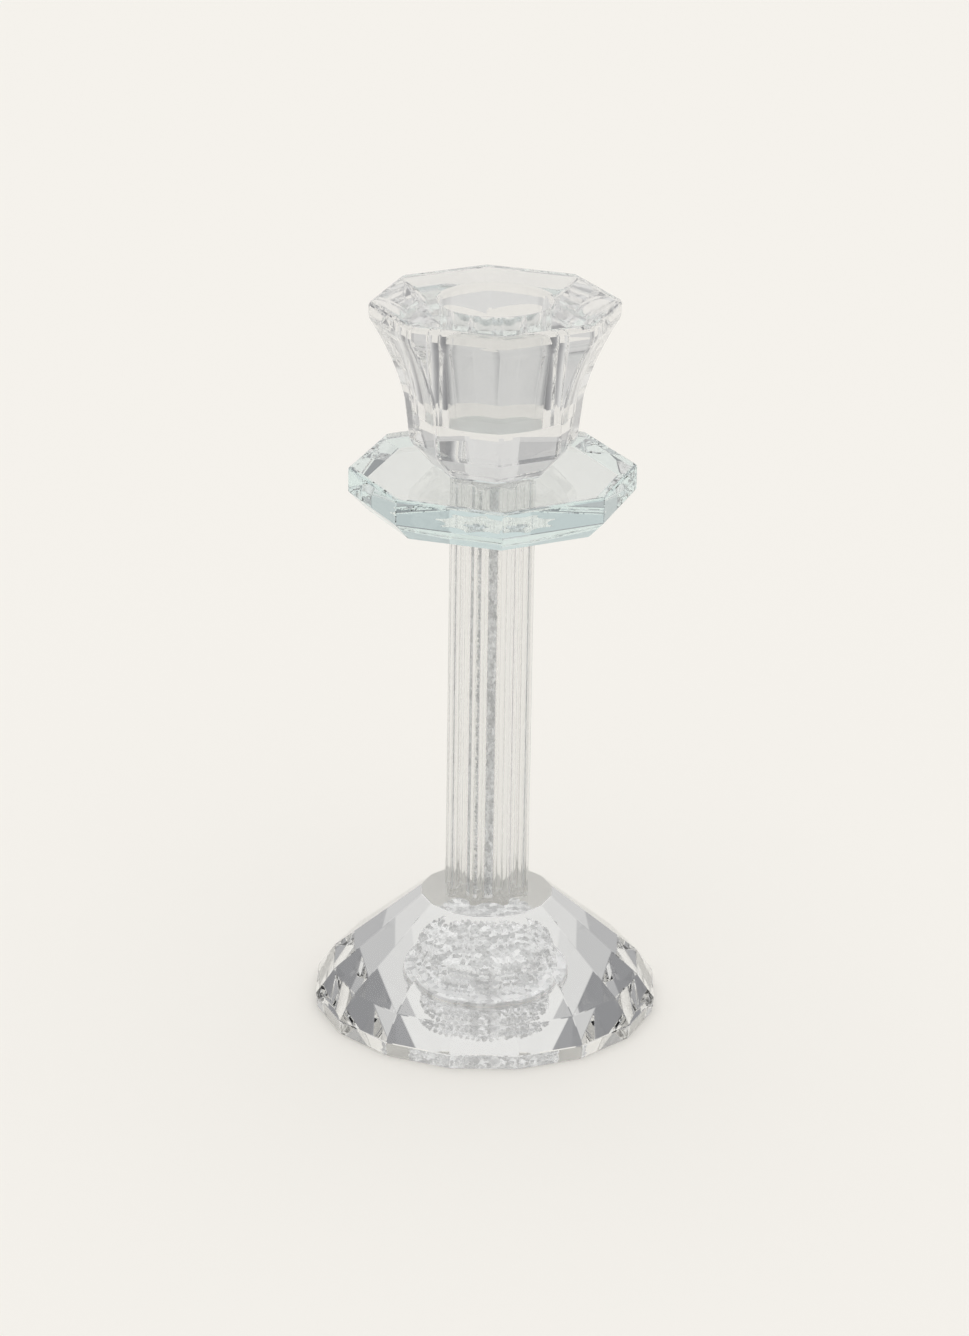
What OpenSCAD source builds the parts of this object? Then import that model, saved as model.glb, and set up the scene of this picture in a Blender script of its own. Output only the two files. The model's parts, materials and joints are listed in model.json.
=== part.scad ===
// Cut glass candlestick: a faceted base, a fluted stem, a drip plate and a candle cup,
// bonded face to face. The base and the stem are drilled and filled with crystal chips.
// Millimetres, +Z up, origin at the centre of the base's resting face.

/* [Base block] */
// Number of facets around the base, an even number
base_sides = 16; // [12:2:20]
// Height of the base block
base_h = 23.8; // [18:0.2:32]
// Corner radius of the resting face
foot_r = 35.0; // [30:0.5:45]
// Height of the upright band
girdle_h = 3.1; // [1.5:0.1:5]
// Distance that the upright band leans out towards its top
girdle_lean = 0.4; // [0.1:0.1:1.5]
// Height of the short lower facets above the band
lower_h = 5.0; // [2:0.1:8]
// Distance that the short lower facets run in
lower_run = 3.6; // [1:0.1:6]
// Flat table left around the stem's ribs
table_margin = 4.8; // [3:0.1:8]

/* [Base filling] */
// Radius of the blind hole that holds the crystal chips
cavity_r = 10.8; // [5:0.05:12]
// Height of the blind hole's ceiling above the resting face
cavity_h = 8.0; // [5:0.1:14]
// Width of the step that the closing plug seats on
plug_seat = 1.5; // [1.3:0.05:5]
// Thickness of the closing plug
plug_t = 0.8; // [0.6:0.1:3]
// Depth of the plug's outer face above the resting face
plug_inset = 0.1; // [0.1:0.1:1]

/* [Stem] */
// Length of the fluted stem
stem_len = 82.6; // [50:0.2:160]
// Radius over the stem's ribs
rib_r = 8.7; // [7.5:0.1:10.5]
// Number of flutes
flutes = 8; // [6:1:10]
// Radius of one hollow flute
flute_r = 3.0; // [2:0.1:3.6]
// Depth of a flute below the ribs
flute_depth = 1.95; // [1:0.05:2.2]
// Radius of the drilled hole that holds the crystal chips
stem_bore_r = 3.0; // [1.5:0.1:4]

/* [Drip plate] */
// Number of corners of the drip plate
plate_sides = 8; // [6:2:12]
// Corner radius of the drip plate
plate_r = 28.65; // [24:0.05:40]
// Height of the plate's upright edge
plate_edge = 5.3; // [3:0.1:8]
// Height and width of the slope cut under the edge
plate_slope = 3.8; // [2:0.1:5]
// Width of the arris ground along the top edge
plate_arris = 0.5; // [0.2:0.1:1]

/* [Candle cup] */
// Number of corners of the candle cup
cup_sides = 8; // [6:2:12]
// Height of the candle cup
cup_h = 33.85; // [30:0.05:45]
// Glass left between the candle bore and the flats of the waist
cup_wall = 5.5; // [3:0.1:9]
// Height of the slope above the foot
cup_slope_h = 5.1; // [4:0.1:6.5]
// Distance that the slope runs out from the foot
cup_slope_run = 4.7; // [2:0.1:6]
// Height of the waist above the foot
waist_h = 14.2; // [12:0.1:18]
// Distance that the body leans out from the slope to the waist
body_lean = 1.1; // [0:0.1:2]
// Angle at which the flare leaves the waist, in degrees from upright
flare_angle = 13; // [5:1:20]
// Distance that the flare runs out from the waist to the rim
flare_run = 7.1; // [5:0.1:12]
// Height of the upright rim band
rim_band = 2.2; // [1.5:0.1:4]
// Radius of the rounding along the rim's top edge
rim_round = 1.2; // [0.5:0.1:1.4]

/* [Candle bore] */
// Diameter of the candle bore
bore_d = 22.0; // [20:0.1:24]
// Depth of the candle bore
bore_depth = 23.0; // [18:0.5:26]
// Radius of the rounding at the bore's mouth
bore_lip = 0.8; // [0.3:0.1:1]

/* [Fits] */
// Turn of the cup, plate and stem against the base, in degrees
cut_turn = 4.2; // [-22:0.1:22]
// Thickness of each film of clear adhesive
bond_t = 0.15; // [0.1:0.05:0.3]
// Clearance around the chips and the plug
fill_gap = 0.05; // [0.05:0.05:0.2]
// Length of glass left clear of adhesive inside each edge
bond_inset = 0.3; // [0.2:0.1:0.6]

/* [Hidden] */
$fn = 96;
rim_steps = 6;
flare_steps = 10;

girdle_r = foot_r + girdle_lean;
break_r = girdle_r - lower_run;
break_z = girdle_h + lower_h;
table_r = rib_r + table_margin;
plug_r = cavity_r + plug_seat;

stem_z = base_h + bond_t;
stem_top_z = stem_z + stem_len;
plate_z = stem_top_z + bond_t;
plate_t = plate_slope + plate_edge;
plate_top_z = plate_z + plate_t;
cup_z = plate_top_z + bond_t;

plug_top_z = plug_inset + plug_t;
recess_top_z = plug_top_z + bond_t;

flute_centre_r = rib_r - flute_depth + flute_r;

bore_r = bore_d / 2;
bore_z = cup_h - bore_depth;
waist_r = (bore_r + cup_wall) / cos(180 / cup_sides);
cup_body_r = waist_r - body_lean;
cup_foot_r = cup_body_r - cup_slope_run;
rim_r = waist_r + flare_run;
flare_h = cup_h - rim_band - rim_round - waist_h;
flare_ease = tan(flare_angle) * flare_h / flare_run;

glass = [0.86, 0.90, 0.90, 0.45];
green_glass = [0.72, 0.86, 0.84, 0.5];
chips = [0.80, 0.80, 0.82];
adhesive = [0.93, 0.93, 0.90, 0.7];

// Half the width across flats of a polygon with the given corner radius
function across_flats(corner_r, sides) = corner_r * cos(180 / sides);

// Both sides of a profile of [half width, height] points
function both_sides(points) = concat(
    points,
    [for (i = [len(points) - 1:-1:0]) [-points[i][0], points[i][1]]]
);

// Profile of corner radii and heights, turned into half widths across flats
function flats_profile(corners, sides) =
    [for (c = corners) [across_flats(c[0], sides), c[1]]];

// Solid with an even number of flat sides, cut from a profile of [corner radius, height]
module faceted(corners, sides) {
    reach = 3 * max([for (c = corners) c[0]]);
    intersection_for (k = [0:sides / 2 - 1])
        rotate([90, 0, 180 * k / (sides / 2)])
            linear_extrude(height = reach, center = true)
                polygon(both_sides(flats_profile(corners, sides)));
}

// Turns a piece so that one of its corners faces the front, then by the common turn
module corner_to_front(sides) {
    rotate([0, 0, cut_turn + (sides % 4 == 0 ? 180 / sides : 0)])
        children();
}

module base_block() {
    color(glass)
        difference() {
            faceted([
                [foot_r, 0],
                [girdle_r, girdle_h],
                [break_r, break_z],
                [table_r, base_h]
            ], base_sides);
            translate([0, 0, -1])
                cylinder(r = cavity_r, h = cavity_h + 1);
            translate([0, 0, -1])
                cylinder(r = plug_r + fill_gap, h = recess_top_z + 1);
        }
}

module base_crystals() {
    color(chips)
        translate([0, 0, recess_top_z + fill_gap])
            cylinder(r = cavity_r - fill_gap, h = cavity_h - recess_top_z - 2 * fill_gap);
}

module base_plug() {
    color(glass)
        translate([0, 0, plug_inset])
            cylinder(r = plug_r, h = plug_t);
}

module plug_bond() {
    color(adhesive)
        translate([0, 0, plug_top_z])
            difference() {
                cylinder(r = plug_r - bond_inset, h = bond_t);
                translate([0, 0, -1])
                    cylinder(r = cavity_r + bond_inset, h = bond_t + 2);
            }
}

// Outline of the fluted stem, drawn smaller by the given margin
module stem_outline(margin = 0) {
    difference() {
        circle(r = rib_r - margin);
        for (i = [0:flutes - 1])
            rotate(360 * i / flutes)
                translate([0, -flute_centre_r])
                    circle(r = flute_r + margin);
    }
}

// Flat film between the stem's end and its neighbour
module stem_film() {
    rotate([0, 0, cut_turn])
        linear_extrude(height = bond_t)
            difference() {
                stem_outline(bond_inset);
                circle(r = stem_bore_r + bond_inset);
            }
}

module stem_foot_bond() {
    color(adhesive)
        translate([0, 0, base_h])
            stem_film();
}

module stem_tube() {
    color(glass)
        translate([0, 0, stem_z])
            rotate([0, 0, cut_turn])
                difference() {
                    linear_extrude(height = stem_len)
                        stem_outline();
                    translate([0, 0, -1])
                        cylinder(r = stem_bore_r, h = stem_len + 2);
                }
}

module stem_crystals() {
    color(chips)
        translate([0, 0, base_h + fill_gap])
            cylinder(r = stem_bore_r - fill_gap, h = plate_z - base_h - 2 * fill_gap);
}

module stem_top_bond() {
    color(adhesive)
        translate([0, 0, stem_top_z])
            stem_film();
}

module drip_plate() {
    color(green_glass)
        translate([0, 0, plate_z])
            corner_to_front(plate_sides)
                faceted([
                    [plate_r - plate_slope, 0],
                    [plate_r, plate_slope],
                    [plate_r, plate_t - plate_arris],
                    [plate_r - plate_arris, plate_t]
                ], plate_sides);
}

module cup_bond() {
    color(adhesive)
        translate([0, 0, plate_top_z])
            corner_to_front(cup_sides)
                faceted([
                    [cup_foot_r - bond_inset, 0],
                    [cup_foot_r - bond_inset, bond_t]
                ], cup_sides);
}

// Hollow curve from the waist to the rim band, getting wider faster towards the top
function flare(steps) = [
    for (i = [0:steps])
        let (t = i / steps)
            [waist_r + flare_run * (flare_ease * t + (1 - flare_ease) * t * t), waist_h + flare_h * t]
];

// Quarter round along the rim's top edge
function rim_edge(steps) = [
    for (i = [0:steps])
        let (a = 90 * i / steps)
            [rim_r - rim_round * (1 - cos(a)), cup_h - rim_round * (1 - sin(a))]
];

module candle_bore() {
    rotate_extrude()
        polygon(concat(
            [[0, bore_z], [bore_r, bore_z], [bore_r, cup_h - bore_lip]],
            [for (i = [1:rim_steps])
                let (a = 90 * i / rim_steps)
                    [bore_r + bore_lip * (1 - cos(a)), cup_h - bore_lip * (1 - sin(a))]],
            [[bore_r + bore_lip, cup_h + 1], [0, cup_h + 1]]
        ));
}

module candle_cup() {
    color(glass)
        translate([0, 0, cup_z])
            difference() {
                corner_to_front(cup_sides)
                    faceted(concat(
                        [[cup_foot_r, 0], [cup_body_r, cup_slope_h]],
                        flare(flare_steps),
                        rim_edge(rim_steps)
                    ), cup_sides);
                candle_bore();
            }
}

base_block();
base_crystals();
base_plug();
plug_bond();
stem_foot_bond();
stem_tube();
stem_crystals();
stem_top_bond();
drip_plate();
cup_bond();
candle_cup();
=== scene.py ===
"""Looks of a cut glass candlestick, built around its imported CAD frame.

Four glass pieces are bonded face to face: a sixteen-sided base, a fluted stem, an octagonal
drip plate and a flared candle cup. The base and the stem are drilled and filled with crystal
chips. Sizes are metres, in the CAD frame: +Z up, origin at the centre of the resting face.
"""
import json
import logging
import math
import random
from contextlib import contextmanager
from dataclasses import dataclass
from enum import Enum
from typing import Callable, Iterator, Sequence

import bpy
from mathutils import Matrix, Vector

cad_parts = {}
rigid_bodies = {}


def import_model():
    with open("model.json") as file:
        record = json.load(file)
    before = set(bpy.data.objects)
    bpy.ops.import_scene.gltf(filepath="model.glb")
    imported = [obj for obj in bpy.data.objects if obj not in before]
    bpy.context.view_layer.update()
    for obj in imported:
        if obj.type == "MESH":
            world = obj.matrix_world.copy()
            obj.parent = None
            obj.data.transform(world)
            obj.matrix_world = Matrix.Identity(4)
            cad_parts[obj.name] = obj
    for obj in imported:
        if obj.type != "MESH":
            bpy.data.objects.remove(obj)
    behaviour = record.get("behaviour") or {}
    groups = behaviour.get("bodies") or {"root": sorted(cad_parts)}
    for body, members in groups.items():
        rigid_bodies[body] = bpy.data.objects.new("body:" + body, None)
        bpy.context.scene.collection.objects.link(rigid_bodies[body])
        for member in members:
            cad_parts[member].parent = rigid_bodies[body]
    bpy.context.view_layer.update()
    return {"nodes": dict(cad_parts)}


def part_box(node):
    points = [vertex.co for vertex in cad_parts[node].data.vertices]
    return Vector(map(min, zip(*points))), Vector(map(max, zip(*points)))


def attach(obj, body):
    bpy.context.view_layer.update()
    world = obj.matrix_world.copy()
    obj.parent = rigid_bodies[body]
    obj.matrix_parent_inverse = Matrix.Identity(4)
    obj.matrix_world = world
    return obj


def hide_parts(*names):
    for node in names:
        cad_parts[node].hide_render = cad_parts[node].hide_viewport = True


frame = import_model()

logging.basicConfig(level=logging.INFO, format="%(message)s")
LOG = logging.getLogger("candlestick")

MM = 0.001
ROUND = 96
SMOOTH_UP_TO = math.radians(5.0)
FLAT_WITHIN = 0.999
GLASS_IOR = 1.52
CUT_TURN = math.radians(4.2)
BOND_INSET = 0.3 * MM
BOND_DIP = 0.02 * MM
ARC_STEPS = 6
FLARE_STEPS = 12
FLOOR_GAP = 0.02 * MM

Level = tuple[float, float]
FaceTest = Callable[[Vector, Vector], bool]


class Face(Enum):
    """The finishes that the faces of one glass piece may have, in slot order."""

    POLISHED = 0
    GROUND = 1
    BONDED = 2
    EDGE = 3
    SATIN = 4


# ---------------------------------------------------------------- modelling helpers


def node_heights(node: str) -> tuple[float, float]:
    """Gives the lowest and highest point of a CAD node, in metres."""
    low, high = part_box(node)
    return low[2], high[2]


def deselect_all() -> None:
    """Leaves nothing selected and nothing active."""
    for obj in bpy.context.view_layer.objects:
        obj.select_set(False)
    bpy.context.view_layer.objects.active = None


def activate(obj: bpy.types.Object) -> None:
    """Makes one object the only selected one and the active one."""
    deselect_all()
    obj.select_set(True)
    bpy.context.view_layer.objects.active = obj


@contextmanager
def editing(obj: bpy.types.Object) -> Iterator[None]:
    """Opens edit mode on one object, with whole faces selected by their own flags."""
    activate(obj)
    bpy.ops.object.mode_set(mode="EDIT")
    bpy.ops.mesh.select_mode(type="FACE")
    try:
        yield
    finally:
        bpy.ops.object.mode_set(mode="OBJECT")


def choose_faces(obj: bpy.types.Object, wanted: FaceTest) -> None:
    """Selects the faces that pass a test, from object mode.

    Args:
        obj: The mesh object.
        wanted: Takes a face's centre and normal and says whether it is chosen.
    """
    mesh = obj.data
    for part in (mesh.vertices, mesh.edges, mesh.polygons):
        part.foreach_set("select", [False] * len(part))
    for face in mesh.polygons:
        face.select = wanted(face.center, face.normal)


def apply_modifier(obj: bpy.types.Object, kind: str, **settings: object) -> None:
    """Adds a modifier with the given settings and applies it.

    Args:
        obj: The mesh object.
        kind: The modifier's type name.
        settings: The modifier's own values.
    """
    modifier = obj.modifiers.new(kind.title(), kind)
    for name, value in settings.items():
        setattr(modifier, name, value)
    activate(obj)
    bpy.ops.object.modifier_apply(modifier=modifier.name)


def apply_place(obj: bpy.types.Object) -> None:
    """Puts an object's place, turn and scale into its mesh."""
    activate(obj)
    bpy.ops.object.transform_apply(location=True, rotation=True, scale=True)


def remove(obj: bpy.types.Object) -> None:
    """Deletes an object that was only a tool, with its mesh."""
    mesh = obj.data
    bpy.data.objects.remove(obj)
    bpy.data.meshes.remove(mesh)


def stepped_solid(name: str, sides: int, levels: Sequence[Level], turn: float = 0.0) -> bpy.types.Object:
    """Builds a closed solid of level rings by extruding and scaling a cone's top face.

    Args:
        name: The object's name.
        sides: Number of corners of each ring.
        levels: (corner radius, height) of each ring, from the bottom up.
        turn: Turn about the vertical axis, in radians.

    Returns:
        The object, with its place in its mesh.
    """
    (low_r, low_z), (next_r, next_z) = levels[0], levels[1]
    deselect_all()
    bpy.ops.mesh.primitive_cone_add(
        vertices=sides,
        radius1=low_r,
        radius2=next_r,
        depth=next_z - low_z,
        location=(0.0, 0.0, (low_z + next_z) / 2),
        rotation=(0.0, 0.0, turn),
    )
    obj = bpy.context.active_object
    obj.name = name
    apply_place(obj)
    choose_faces(obj, lambda centre, normal: normal.z > FLAT_WITHIN)
    with editing(obj):
        for (r0, z0), (r1, z1) in zip(levels[1:], levels[2:]):
            bpy.ops.mesh.extrude_region_move(TRANSFORM_OT_translate={"value": (0.0, 0.0, z1 - z0)})
            scale = r1 / r0
            bpy.ops.transform.resize(value=(scale, scale, 1.0), center_override=(0.0, 0.0, z1))
    return obj


def cut_away(obj: bpy.types.Object, cutter: bpy.types.Object) -> None:
    """Cuts one solid out of another and deletes the cutter."""
    apply_modifier(obj, "BOOLEAN", operation="DIFFERENCE", solver="EXACT", object=cutter)
    remove(cutter)


def soften_edges(obj: bpy.types.Object, width: float, segments: int = 2, over: float = 10.0) -> None:
    """Rounds the sharp edges of a solid.

    Args:
        obj: The mesh object.
        width: Width of the rounding.
        segments: Number of steps in it.
        over: Edges that turn by more than this many degrees are rounded.
    """
    apply_modifier(
        obj,
        "BEVEL",
        width=width,
        segments=segments,
        limit_method="ANGLE",
        angle_limit=math.radians(over),
        use_clamp_overlap=True,
        miter_outer="MITER_ARC",
    )


def shade(obj: bpy.types.Object) -> None:
    """Cleans the mesh, points its faces outwards and smooths only its round stretches."""
    with editing(obj):
        bpy.ops.mesh.select_all(action="SELECT")
        bpy.ops.mesh.remove_doubles(threshold=0.001 * MM)
        bpy.ops.mesh.normals_make_consistent(inside=False)
    activate(obj)
    bpy.ops.object.shade_smooth_by_angle(angle=SMOOTH_UP_TO)


def give_faces(obj: bpy.types.Object, kind: Face, wanted: FaceTest) -> None:
    """Gives the faces that pass a test one of the piece's finishes."""
    for face in obj.data.polygons:
        if wanted(face.center, face.normal):
            face.material_index = kind.value


def facing_z(height: float) -> FaceTest:
    """Gives a test for level faces at one height."""
    return lambda centre, normal: abs(normal.z) > FLAT_WITHIN and abs(centre.z - height) < 0.005 * MM


# ---------------------------------------------------------------- finishes


def link(tree: bpy.types.NodeTree, source: bpy.types.NodeSocket, target: bpy.types.NodeSocket) -> None:
    """Joins two sockets."""
    tree.links.new(source, target)


FRAME_MATERIALS = frozenset(material.name for material in bpy.data.materials)


def own_material(name: str) -> tuple[bpy.types.Material, bool]:
    """Finds or makes one of this script's own materials.

    Args:
        name: The material's name.

    Returns:
        The material, and whether it is new.
    """
    if name in FRAME_MATERIALS:
        raise ValueError(f"the frame already has a material called {name}")
    if name in bpy.data.materials:
        return bpy.data.materials[name], False
    material = bpy.data.materials.new(name)
    material.use_nodes = True
    return material, True


def marks_group() -> bpy.types.NodeTree:
    """Builds the group that marks handled glass: soft smears and a fine uneven surface.

    Returns:
        A node group with Smear and Grain inputs and Roughness and Height outputs.
    """
    name = "handled_glass"
    if name in bpy.data.node_groups:
        return bpy.data.node_groups[name]
    group = bpy.data.node_groups.new(name, "ShaderNodeTree")
    sizes = (("Base Roughness", 0.0), ("Smear", 0.03), ("Smear Scale", 45.0), ("Grain Scale", 900.0))
    for socket, default in sizes:
        item = group.interface.new_socket(socket, in_out="INPUT", socket_type="NodeSocketFloat")
        item.default_value = default
    group.interface.new_socket("Roughness", in_out="OUTPUT", socket_type="NodeSocketFloat")
    group.interface.new_socket("Height", in_out="OUTPUT", socket_type="NodeSocketFloat")
    nodes = group.nodes
    source = nodes.new("NodeGroupInput")
    result = nodes.new("NodeGroupOutput")
    place = nodes.new("ShaderNodeTexCoord")
    smear = nodes.new("ShaderNodeTexNoise")
    smear.inputs["Detail"].default_value = 3.0
    grain = nodes.new("ShaderNodeTexNoise")
    grain.inputs["Detail"].default_value = 1.0
    limits = nodes.new("ShaderNodeMapRange")
    limits.inputs["From Min"].default_value = 0.55
    limits.inputs["From Max"].default_value = 0.75
    link(group, place.outputs["Object"], smear.inputs["Vector"])
    link(group, place.outputs["Object"], grain.inputs["Vector"])
    link(group, source.outputs["Smear Scale"], smear.inputs["Scale"])
    link(group, source.outputs["Grain Scale"], grain.inputs["Scale"])
    link(group, smear.outputs["Fac"], limits.inputs["Value"])
    link(group, source.outputs["Smear"], limits.inputs["To Max"])
    total = nodes.new("ShaderNodeMath")
    total.operation = "ADD"
    link(group, limits.outputs["Result"], total.inputs[0])
    link(group, source.outputs["Base Roughness"], total.inputs[1])
    link(group, total.outputs["Value"], result.inputs["Roughness"])
    link(group, grain.outputs["Fac"], result.inputs["Height"])
    return group


@dataclass(frozen=True)
class Glass:
    """Clear glass, polished or ground."""

    name: str
    tint: tuple[float, float, float] = (0.985, 0.992, 0.988)
    roughness: float = 0.0
    smear: float = 0.03
    smear_scale: float = 45.0
    grain_scale: float = 700.0
    grain_depth: float = 0.0
    ior: float = GLASS_IOR

    def build(self) -> bpy.types.Material:
        """Builds the material once.

        Returns:
            The material.
        """
        material, is_new = own_material(self.name)
        if not is_new:
            return material
        tree = material.node_tree
        shader = tree.nodes["Principled BSDF"]
        shader.inputs["Base Color"].default_value = (*self.tint, 1.0)
        shader.inputs["Metallic"].default_value = 0.0
        shader.inputs["Transmission Weight"].default_value = 1.0
        shader.inputs["IOR"].default_value = self.ior
        marks = tree.nodes.new("ShaderNodeGroup")
        marks.node_tree = marks_group()
        marks.inputs["Base Roughness"].default_value = self.roughness
        marks.inputs["Smear"].default_value = self.smear
        marks.inputs["Smear Scale"].default_value = self.smear_scale
        marks.inputs["Grain Scale"].default_value = self.grain_scale
        link(tree, marks.outputs["Roughness"], shader.inputs["Roughness"])
        bump = tree.nodes.new("ShaderNodeBump")
        bump.inputs["Strength"].default_value = 1.0
        bump.inputs["Distance"].default_value = self.grain_depth
        link(tree, marks.outputs["Height"], bump.inputs["Height"])
        link(tree, bump.outputs["Normal"], shader.inputs["Normal"])
        return material


@dataclass(frozen=True)
class BondedFace:
    """A glass face wetted by adhesive or resin: light goes straight through it, unbent."""

    name: str = "bonded_face"

    def build(self) -> bpy.types.Material:
        """Builds the material once.

        Returns:
            The material.
        """
        material, is_new = own_material(self.name)
        if not is_new:
            return material
        shader = material.node_tree.nodes["Principled BSDF"]
        shader.inputs["Alpha"].default_value = 0.0
        return material


@dataclass(frozen=True)
class Adhesive:
    """A thin film of cured clear adhesive, with faint clouding where it set unevenly."""

    name: str = "cured_adhesive"
    tint: tuple[float, float, float] = (0.93, 0.93, 0.91)
    cloud: float = 0.3
    cloud_scale: float = 420.0
    roughness: float = 0.3

    def build(self) -> bpy.types.Material:
        """Builds the material once.

        Returns:
            The material.
        """
        material, is_new = own_material(self.name)
        if not is_new:
            return material
        tree = material.node_tree
        shader = tree.nodes["Principled BSDF"]
        shader.inputs["Base Color"].default_value = (*self.tint, 1.0)
        shader.inputs["Roughness"].default_value = self.roughness
        place = tree.nodes.new("ShaderNodeTexCoord")
        clouds = tree.nodes.new("ShaderNodeTexNoise")
        clouds.inputs["Scale"].default_value = self.cloud_scale
        clouds.inputs["Detail"].default_value = 3.0
        amount = tree.nodes.new("ShaderNodeMapRange")
        amount.inputs["From Min"].default_value = 0.45
        amount.inputs["From Max"].default_value = 0.7
        amount.inputs["To Max"].default_value = self.cloud
        link(tree, place.outputs["Object"], clouds.inputs["Vector"])
        link(tree, clouds.outputs["Fac"], amount.inputs["Value"])
        link(tree, amount.outputs["Result"], shader.inputs["Alpha"])
        return material


@dataclass(frozen=True)
class Chips:
    """Bright broken crystal, with a tone of its own in each chip.

    The chips are opaque here. Their weak glow stands in for the light that clear crystals pass on.
    """

    name: str
    chip: float
    dark: float = 0.62
    light: float = 1.0
    metallic: float = 0.0
    roughness: float = 0.12
    glow: float = 0.2

    def build(self) -> bpy.types.Material:
        """Builds the material once.

        Returns:
            The material.
        """
        material, is_new = own_material(self.name)
        if not is_new:
            return material
        tree = material.node_tree
        shader = tree.nodes["Principled BSDF"]
        shader.inputs["Metallic"].default_value = self.metallic
        shader.inputs["Roughness"].default_value = self.roughness
        shader.inputs["Emission Strength"].default_value = self.glow
        place = tree.nodes.new("ShaderNodeTexCoord")
        cells = tree.nodes.new("ShaderNodeTexVoronoi")
        cells.inputs["Scale"].default_value = 1.0 / self.chip
        tone = tree.nodes.new("ShaderNodeMapRange")
        tone.inputs["To Min"].default_value = self.dark
        tone.inputs["To Max"].default_value = self.light
        split = tree.nodes.new("ShaderNodeSeparateColor")
        link(tree, place.outputs["Object"], cells.inputs["Vector"])
        link(tree, cells.outputs["Color"], split.inputs["Color"])
        link(tree, split.outputs["Red"], tone.inputs["Value"])
        link(tree, tone.outputs["Result"], shader.inputs["Base Color"])
        link(tree, tone.outputs["Result"], shader.inputs["Emission Color"])
        return material


POLISHED = Glass("polished_glass")
STEM_GLASS = Glass("polished_stem", tint=(0.87, 0.875, 0.87))
PLATE_GLASS = Glass("polished_plate", tint=(0.83, 0.86, 0.865))
CUP_GLASS = Glass("polished_cup", tint=(0.865, 0.87, 0.87))
GROUND = Glass("ground_glass", roughness=0.45, grain_depth=0.00002)
EDGE_TINT = Glass("plate_edge_glass", tint=(0.74, 0.865, 0.87))
SATIN = Glass("satin_glass", tint=(0.93, 0.935, 0.935), roughness=0.05, grain_depth=0.000005)
BONDED = BondedFace()
ADHESIVE = Adhesive()


def dress_glass(obj: bpy.types.Object, polished: Glass = POLISHED) -> None:
    """Gives a glass piece its slots, in the order of Face."""
    for finish in (polished, GROUND, BONDED, EDGE_TINT, SATIN):
        obj.data.materials.append(finish.build())


def register(obj: bpy.types.Object, node: str) -> None:
    """Makes a piece ride on the one body, in place of its CAD node."""
    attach(obj, "root")
    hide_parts(node)
    LOG.info("%s: %d faces, stands for %s", obj.name, len(obj.data.polygons), node)


# ---------------------------------------------------------------- pieces


@dataclass
class BaseBlock:
    """The faceted base, with the shallow blind hole for its chips and the recess for the plug."""

    sides: int = 16
    foot_r: float = 35.0 * MM
    girdle_r: float = 35.4 * MM
    girdle_z: float = 3.1 * MM
    break_r: float = 31.8 * MM
    break_z: float = 8.1 * MM
    table_r: float = 13.5 * MM
    cavity_r: float = 10.8 * MM
    cavity_h: float = 8.0 * MM
    recess_r: float = 12.35 * MM
    recess_z: float = 1.05 * MM
    arris: float = 0.12 * MM

    def shape(self) -> bpy.types.Object:
        """Builds the block and drills it."""
        low, high = node_heights("base_block")
        levels = [
            (self.foot_r, low),
            (self.girdle_r, self.girdle_z),
            (self.break_r, self.break_z),
            (self.table_r, high),
        ]
        block = stepped_solid("glass_base", self.sides, levels, math.pi / self.sides)
        soften_edges(block, self.arris, segments=1)
        below = low - MM
        hole = [
            (self.recess_r, below),
            (self.recess_r, self.recess_z),
            (self.cavity_r, self.recess_z),
            (self.cavity_r, self.cavity_h),
        ]
        cut_away(block, stepped_solid("hole", ROUND, hole))
        cut_away(block, stem_section("dip", high - BOND_DIP, high + MM, BOND_INSET))
        shade(block)
        return block

    def build(self) -> None:
        """Builds and dresses the base."""
        block = self.shape()
        low, high = node_heights("base_block")
        dress_glass(block)
        give_faces(block, Face.BONDED, facing_z(self.cavity_h))
        give_faces(block, Face.BONDED, facing_z(self.recess_z))
        give_faces(
            block,
            Face.BONDED,
            lambda centre, normal: math.hypot(centre.x, centre.y) < self.recess_r + 0.01 * MM
            and abs(normal.z) < 0.1
            and centre.z < self.cavity_h,
        )
        give_faces(block, Face.BONDED, facing_z(high - BOND_DIP))
        register(block, "base_block")


@dataclass
class Stem:
    """The fluted, drilled stem."""

    rib_r: float = 8.7 * MM
    flutes: int = 8
    flute_r: float = 3.0 * MM
    flute_depth: float = 1.95 * MM
    bore_r: float = 3.0 * MM
    arris: float = 0.12 * MM

    def build(self) -> None:
        """Builds and dresses the stem."""
        low, high = node_heights("stem_tube")
        rod = stem_section("glass_stem", low, high, 0.0)
        soften_edges(rod, self.arris, segments=2, over=20.0)
        cut_away(rod, stepped_solid("bore", ROUND, [(self.bore_r, low - MM), (self.bore_r, high + MM)]))
        shade(rod)
        dress_glass(rod, STEM_GLASS)
        give_faces(rod, Face.BONDED, facing_z(low))
        give_faces(rod, Face.BONDED, facing_z(high))
        register(rod, "stem_tube")


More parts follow.
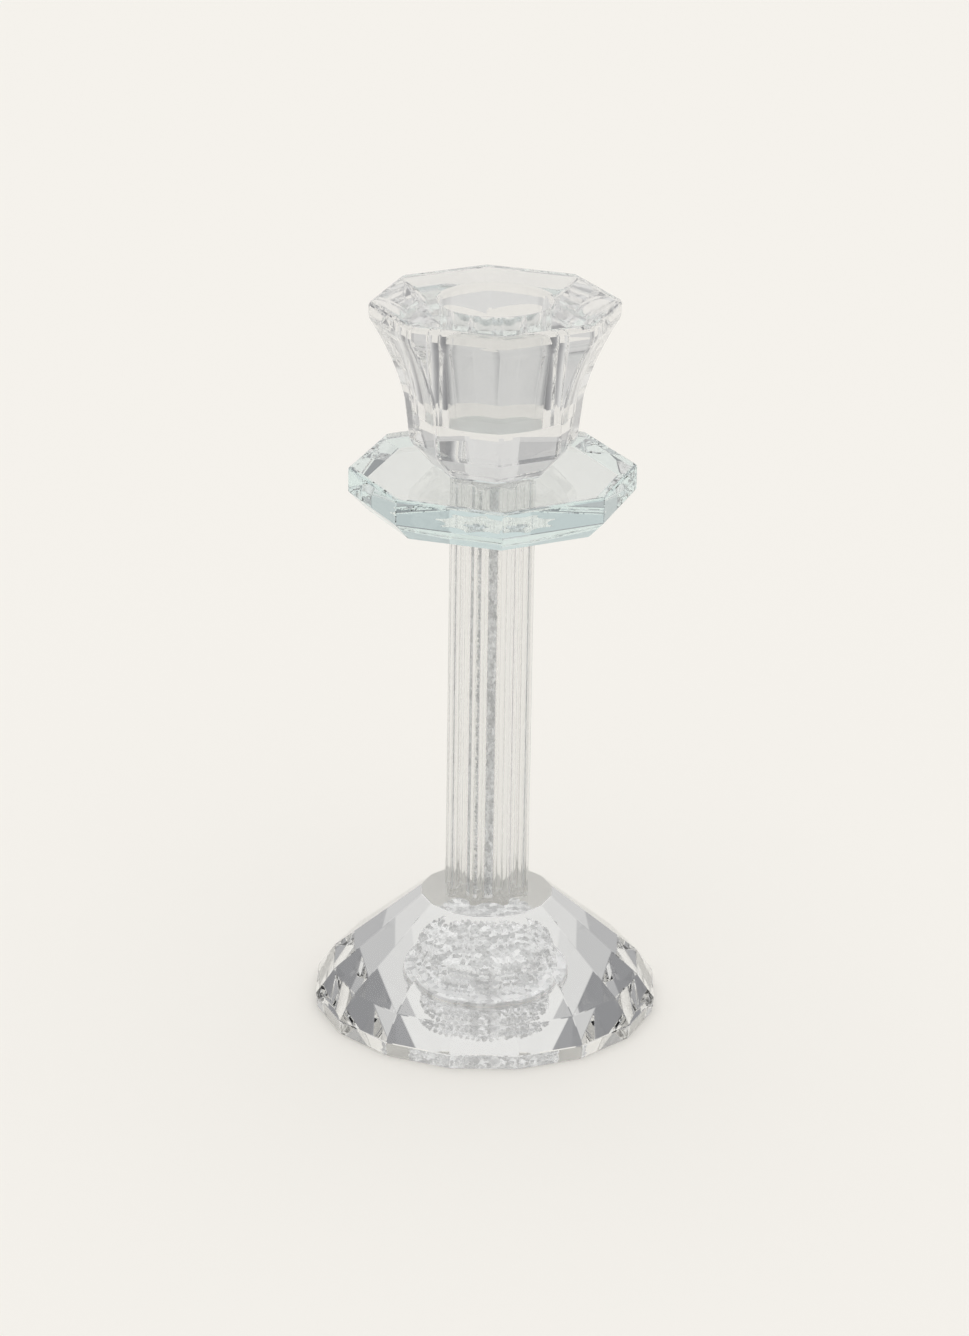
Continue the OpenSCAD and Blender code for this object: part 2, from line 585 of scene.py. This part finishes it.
def stem_section(name: str, low: float, high: float, margin: float) -> bpy.types.Object:
    """Builds a length of the fluted section.

    Args:
        name: The object's name.
        low: Height of its lower end.
        high: Height of its upper end.
        margin: How far its outline lies inside the stem's.

    Returns:
        The solid.
    """
    sizes = Stem()
    rod = stepped_solid(name, ROUND, [(sizes.rib_r - margin, low), (sizes.rib_r - margin, high)], CUT_TURN)
    centre_r = sizes.rib_r - sizes.flute_depth + sizes.flute_r
    flute_r = sizes.flute_r + margin
    groove = stepped_solid("groove", ROUND, [(flute_r, low - MM), (flute_r, high + MM)])
    for k in range(sizes.flutes):
        angle = CUT_TURN + math.tau * k / sizes.flutes
        tool = groove.copy()
        tool.data = groove.data.copy()
        bpy.context.scene.collection.objects.link(tool)
        tool.location = (centre_r * math.sin(angle), -centre_r * math.cos(angle), 0.0)
        apply_place(tool)
        cut_away(rod, tool)
    remove(groove)
    return rod


@dataclass
class DripPlate:
    """The bevelled octagonal plate."""

    sides: int = 8
    corner_r: float = 28.65 * MM
    slope: float = 3.8 * MM
    top_arris: float = 0.5 * MM
    arris: float = 0.15 * MM

    def build(self) -> None:
        """Builds and dresses the plate."""
        low, high = node_heights("drip_plate")
        levels = [
            (self.corner_r - self.slope, low),
            (self.corner_r, low + self.slope),
            (self.corner_r, high - self.top_arris),
            (self.corner_r - self.top_arris, high),
        ]
        plate = stepped_solid("glass_plate", self.sides, levels, CUT_TURN)
        soften_edges(plate, self.arris, segments=1)
        cut_away(plate, stem_section("dip", low - MM, low + BOND_DIP, BOND_INSET))
        cup_foot = CandleCup().foot_r - BOND_INSET
        dip = [(cup_foot, high - BOND_DIP), (cup_foot, high + MM)]
        cut_away(plate, stepped_solid("dip", self.sides, dip, CUT_TURN))
        shade(plate)
        dress_glass(plate, PLATE_GLASS)
        give_faces(plate, Face.EDGE, lambda centre, normal: abs(normal.z) < 0.9)
        give_faces(plate, Face.BONDED, facing_z(low + BOND_DIP))
        give_faces(plate, Face.BONDED, facing_z(high - BOND_DIP))
        register(plate, "drip_plate")


@dataclass
class CandleCup:
    """The flared octagonal cup with its round candle bore."""

    sides: int = 8
    bore_r: float = 11.0 * MM
    wall: float = 5.5 * MM
    slope_h: float = 5.1 * MM
    slope_run: float = 4.7 * MM
    waist_h: float = 14.2 * MM
    body_lean: float = 1.1 * MM
    flare_angle: float = math.radians(13.0)
    flare_run: float = 7.1 * MM
    rim_band: float = 2.2 * MM
    rim_round: float = 1.2 * MM
    bore_depth: float = 23.0 * MM
    bore_lip: float = 0.8 * MM
    corner_round: float = 0.8 * MM

    @property
    def waist_r(self) -> float:
        """Corner radius of the waist."""
        return (self.bore_r + self.wall) / math.cos(math.pi / self.sides)

    @property
    def body_r(self) -> float:
        """Corner radius at the top of the slope."""
        return self.waist_r - self.body_lean

    @property
    def foot_r(self) -> float:
        """Corner radius of the foot."""
        return self.body_r - self.slope_run

    def outline(self, low: float, high: float) -> list[Level]:
        """Gives the cup's level rings from its foot to its rim."""
        levels = [(self.foot_r, low), (self.body_r, low + self.slope_h)]
        flare_h = high - low - self.rim_band - self.rim_round - self.waist_h
        ease = math.tan(self.flare_angle) * flare_h / self.flare_run
        for i in range(FLARE_STEPS + 1):
            t = i / FLARE_STEPS
            radius = self.waist_r + self.flare_run * (ease * t + (1 - ease) * t * t)
            levels.append((radius, low + self.waist_h + flare_h * t))
        rim_r = self.waist_r + self.flare_run
        for i in range(ARC_STEPS + 1):
            angle = math.pi / 2 * i / ARC_STEPS
            inwards = self.rim_round * (1 - math.cos(angle))
            levels.append((rim_r - inwards, high - self.rim_round * (1 - math.sin(angle))))
        return levels

    def bore(self, high: float) -> list[Level]:
        """Gives the rings of the candle bore's cutter."""
        levels = [(self.bore_r, high - self.bore_depth)]
        for i in range(ARC_STEPS + 1):
            angle = math.pi / 2 * i / ARC_STEPS
            outwards = self.bore_lip * (1 - math.cos(angle))
            levels.append((self.bore_r + outwards, high - self.bore_lip * (1 - math.sin(angle))))
        levels.append((self.bore_r + self.bore_lip, high + MM))
        return levels

    def build(self) -> None:
        """Builds and dresses the cup."""
        low, high = node_heights("candle_cup")
        cup = stepped_solid("glass_cup", self.sides, self.outline(low, high), CUT_TURN)
        soften_edges(cup, self.corner_round, segments=3, over=30.0)
        cut_away(cup, stepped_solid("bore", ROUND, self.bore(high)))
        shade(cup)
        dress_glass(cup, CUP_GLASS)
        floor = high - self.bore_depth
        give_faces(
            cup,
            Face.SATIN,
            lambda centre, normal: math.hypot(centre.x, centre.y) < self.bore_r - 0.01 * MM
            and centre.z > floor + 0.01 * MM,
        )
        give_faces(cup, Face.GROUND, facing_z(floor))
        give_faces(cup, Face.BONDED, facing_z(low))
        register(cup, "candle_cup")


@dataclass
class ChipFill:
    """Packed crystal chips in a drilled hole."""

    name: str
    node: str
    chip_r: float
    layers: int
    seed: int
    masters: int = 3
    flatness: float = 0.65
    from_wall: float = 1.15
    spacing: float = 1.75
    layer_step: float = 1.3

    def master(self, rng: random.Random) -> bpy.types.Object:
        """Models one chip: a small ball broken along a few planes."""
        deselect_all()
        bpy.ops.mesh.primitive_ico_sphere_add(subdivisions=1, radius=self.chip_r)
        chip = bpy.context.active_object
        with editing(chip):
            for _ in range(4):
                normal = Vector([rng.gauss(0.0, 1.0) for _ in range(3)]).normalized()
                bpy.ops.mesh.select_all(action="SELECT")
                bpy.ops.mesh.bisect(
                    plane_co=normal * self.chip_r * rng.uniform(0.35, 0.7),
                    plane_no=normal,
                    use_fill=True,
                    clear_outer=True,
                )
        return chip

    def places(self, rng: random.Random) -> list[Vector]:
        """Spreads the chips over the wall and both ends of the hole."""
        low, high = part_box(self.node)
        radius = (high[0] - low[0]) / 2
        reach = self.from_wall * self.chip_r
        pitch = self.spacing * self.chip_r
        places = []
        for layer in range(self.layers):
            ring_r = radius - reach - layer * self.layer_step * self.chip_r
            rows = int((high[2] - low[2] - 2 * reach) / pitch) + 1
            count = int(math.tau * ring_r / pitch)
            for row in range(rows):
                for k in range(count):
                    angle = math.tau * (k + 0.5 * (row % 2) + rng.uniform(-0.2, 0.2)) / count
                    z = low[2] + reach + (high[2] - low[2] - 2 * reach) * row / (rows - 1)
                    z += 0.2 * pitch * rng.uniform(-1, 1) * (0 < row < rows - 1)
                    places.append(Vector((ring_r * math.cos(angle), ring_r * math.sin(angle), z)))
            for end in (low[2] + reach, high[2] - reach):
                ring = ring_r - pitch
                while ring > 0 and layer == 0:
                    count = max(1, int(math.tau * ring / pitch))
                    for k in range(count):
                        angle = math.tau * (k + rng.random() * 0.3) / count
                        places.append(Vector((ring * math.cos(angle), ring * math.sin(angle), end)))
                    ring -= pitch
        return places

    def build(self) -> bpy.types.Object:
        """Builds the fill as one piece and dresses it.

        Returns:
            The joined chips.
        """
        rng = random.Random(self.seed)
        masters = [self.master(rng) for _ in range(self.masters)]
        copies = []
        for place in self.places(rng):
            source = rng.choice(masters)
            chip = bpy.data.objects.new("chip", source.data)
            axis = Vector([rng.gauss(0, 1) for _ in range(3)])
            turn = Matrix.Rotation(rng.uniform(0, math.tau), 4, axis)
            size = rng.uniform(0.75, 1.12)
            flat = Matrix.Diagonal((size, size, size * self.flatness, 1.0))
            chip.matrix_world = Matrix.Translation(place) @ flat @ turn
            bpy.context.scene.collection.objects.link(chip)
            copies.append(chip)
        low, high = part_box(self.node)
        radius = (high[0] - low[0]) / 2
        core_r = radius - (self.layer_step * self.layers + 0.3) * self.chip_r
        core = stepped_solid("core", 48, [(core_r, low[2] + self.chip_r), (core_r, high[2] - self.chip_r)])
        activate(core)
        for chip in copies:
            chip.select_set(True)
        bpy.ops.object.join()
        for old in masters:
            remove(old)
        core.name = self.name
        apply_place(core)
        with editing(core):
            bpy.ops.mesh.select_all(action="SELECT")
            bpy.ops.mesh.normals_make_consistent(inside=False)
        core.data.materials.append(Chips(f"{self.name}_finish", chip=2 * self.chip_r).build())
        register(core, self.node)
        return core


# ---------------------------------------------------------------- studio


@dataclass
class Studio:
    """The pale floor, the soft light and the camera."""

    floor_size: float = 12.0
    floor_colour: tuple[float, float, float] = (0.86, 0.84, 0.80)
    lens: float = 122.18
    distance: float = 0.848
    height: float = 0.4066
    side: float = -0.00109
    pitch: float = math.radians(21.498)
    roll: float = math.radians(0.8586)
    sky: float = 0.8
    lamp: float = 1.42
    sky_tones: tuple[tuple[float, tuple[float, float, float]], ...] = (
        (0.35, (1.0, 0.99, 0.97)),
        (0.8, (0.43, 0.43, 0.44)),
        (0.96, (0.32, 0.32, 0.33)),
    )

    def floor(self) -> bpy.types.Object:
        """Lays the floor just under the resting face.

        Returns:
            The floor.
        """
        deselect_all()
        bpy.ops.mesh.primitive_plane_add(size=self.floor_size, location=(0.0, 0.0, -FLOOR_GAP))
        floor = bpy.context.active_object
        floor.name = "studio_floor"
        material = bpy.data.materials.new("pale_floor")
        material.use_nodes = True
        shader = material.node_tree.nodes["Principled BSDF"]
        shader.inputs["Base Color"].default_value = (*self.floor_colour, 1.0)
        shader.inputs["Roughness"].default_value = 0.9
        shader.inputs["Specular IOR Level"].default_value = 0.0
        floor.data.materials.append(material)
        return floor

    def camera(self) -> None:
        """Sets the camera at its place, pitch and roll."""
        data = bpy.data.cameras.new("camera")
        data.lens = self.lens
        data.sensor_width = 36.0
        data.clip_start = 0.01
        data.clip_end = 50.0
        camera = bpy.data.objects.new("camera", data)
        bpy.context.scene.collection.objects.link(camera)
        forward = Vector((0.0, math.cos(self.pitch), -math.sin(self.pitch)))
        up = Vector((0.0, math.sin(self.pitch), math.cos(self.pitch)))
        right = Vector((1.0, 0.0, 0.0))
        right_rolled = math.cos(self.roll) * right + math.sin(self.roll) * up
        up_rolled = -math.sin(self.roll) * right + math.cos(self.roll) * up
        camera.matrix_world = Matrix.Translation((self.side, -self.distance, self.height)) @ Matrix(
            (right_rolled, up_rolled, -forward)
        ).transposed().to_4x4()
        bpy.context.scene.camera = camera

    def light(self) -> bpy.types.Object:
        """Sets a sky that is grey at both sides, and a soft overhead lamp unseen in the glass.

        Returns:
            The overhead lamp.
        """
        world = bpy.data.worlds.new("studio")
        bpy.context.scene.world = world
        world.use_nodes = True
        tree = world.node_tree
        background = tree.nodes["Background"]
        background.inputs["Strength"].default_value = self.sky
        place = tree.nodes.new("ShaderNodeTexCoord")
        split = tree.nodes.new("ShaderNodeSeparateXYZ")
        side = tree.nodes.new("ShaderNodeMath")
        side.operation = "ABSOLUTE"
        shade_off = tree.nodes.new("ShaderNodeValToRGB")
        ramp = shade_off.color_ramp.elements
        ramp.remove(ramp[1])
        (first, tone), *others = self.sky_tones
        ramp[0].position, ramp[0].color = first, (*tone, 1.0)
        for position, tone in others:
            ramp.new(position).color = (*tone, 1.0)
        link(tree, place.outputs["Generated"], split.inputs["Vector"])
        link(tree, split.outputs["X"], side.inputs[0])
        link(tree, side.outputs["Value"], shade_off.inputs["Fac"])
        link(tree, shade_off.outputs["Color"], background.inputs["Color"])
        sun = bpy.data.lights.new("soft_overhead", "SUN")
        sun.energy = self.lamp
        sun.angle = math.radians(120.0)
        lamp = bpy.data.objects.new("soft_overhead", sun)
        lamp.rotation_euler = (math.radians(-20), math.radians(15), 0)
        lamp.visible_glossy = False
        lamp.visible_transmission = False
        bpy.context.scene.collection.objects.link(lamp)
        return lamp

    def shade_only_with(self, lamp: bpy.types.Object, solids: Sequence[bpy.types.Object]) -> None:
        """Lets the lamp shine through clear glass, so that only the given solids block it.

        Args:
            lamp: The lamp.
            solids: Everything that isn't clear.
        """
        blockers = bpy.data.collections.new("lamp_blockers")
        for solid in solids:
            blockers.objects.link(solid)
        lamp.light_linking.blocker_collection = blockers

    def settings(self) -> None:
        """Sets how light paths and colours are handled."""
        scene = bpy.context.scene
        scene.cycles.max_bounces = 24
        scene.cycles.transmission_bounces = 24
        scene.cycles.glossy_bounces = 24
        scene.cycles.transparent_max_bounces = 32
        scene.view_settings.view_transform = "Standard"

    def build(self, chips: Sequence[bpy.types.Object]) -> None:
        """Builds the whole studio.

        Args:
            chips: The pieces that block the lamp, besides the floor.
        """
        self.camera()
        floor = self.floor()
        lamp = self.light()
        self.shade_only_with(lamp, [floor, *chips])
        self.settings()
        LOG.info("studio: floor, light and camera")


def main() -> None:
    """Builds every piece in order."""
    BaseBlock().build()
    Stem().build()
    DripPlate().build()
    CandleCup().build()
    base_chips = ChipFill("base_chips", "base_crystals", 0.75 * MM, 2, 7).build()
    stem_chips = ChipFill("stem_chips", "stem_crystals", 0.6 * MM, 1, 11).build()
    Studio().build([base_chips, stem_chips])
    for node in ("plug_bond", "stem_foot_bond", "stem_top_bond", "cup_bond"):
        obj = frame["nodes"][node]
        obj.data.materials.clear()
        obj.data.materials.append(ADHESIVE.build())
    # The plug takes the chips' material: a random tone in each cell, plus the weak emission glow, which is
    # painted light since the plug is no lamp.
    plug = frame["nodes"]["base_plug"]
    plug.data.materials.clear()
    plug.data.materials.append(Chips("plug_finish", chip=1.2 * MM, roughness=0.35).build())


if __name__ == "__main__":
    main()
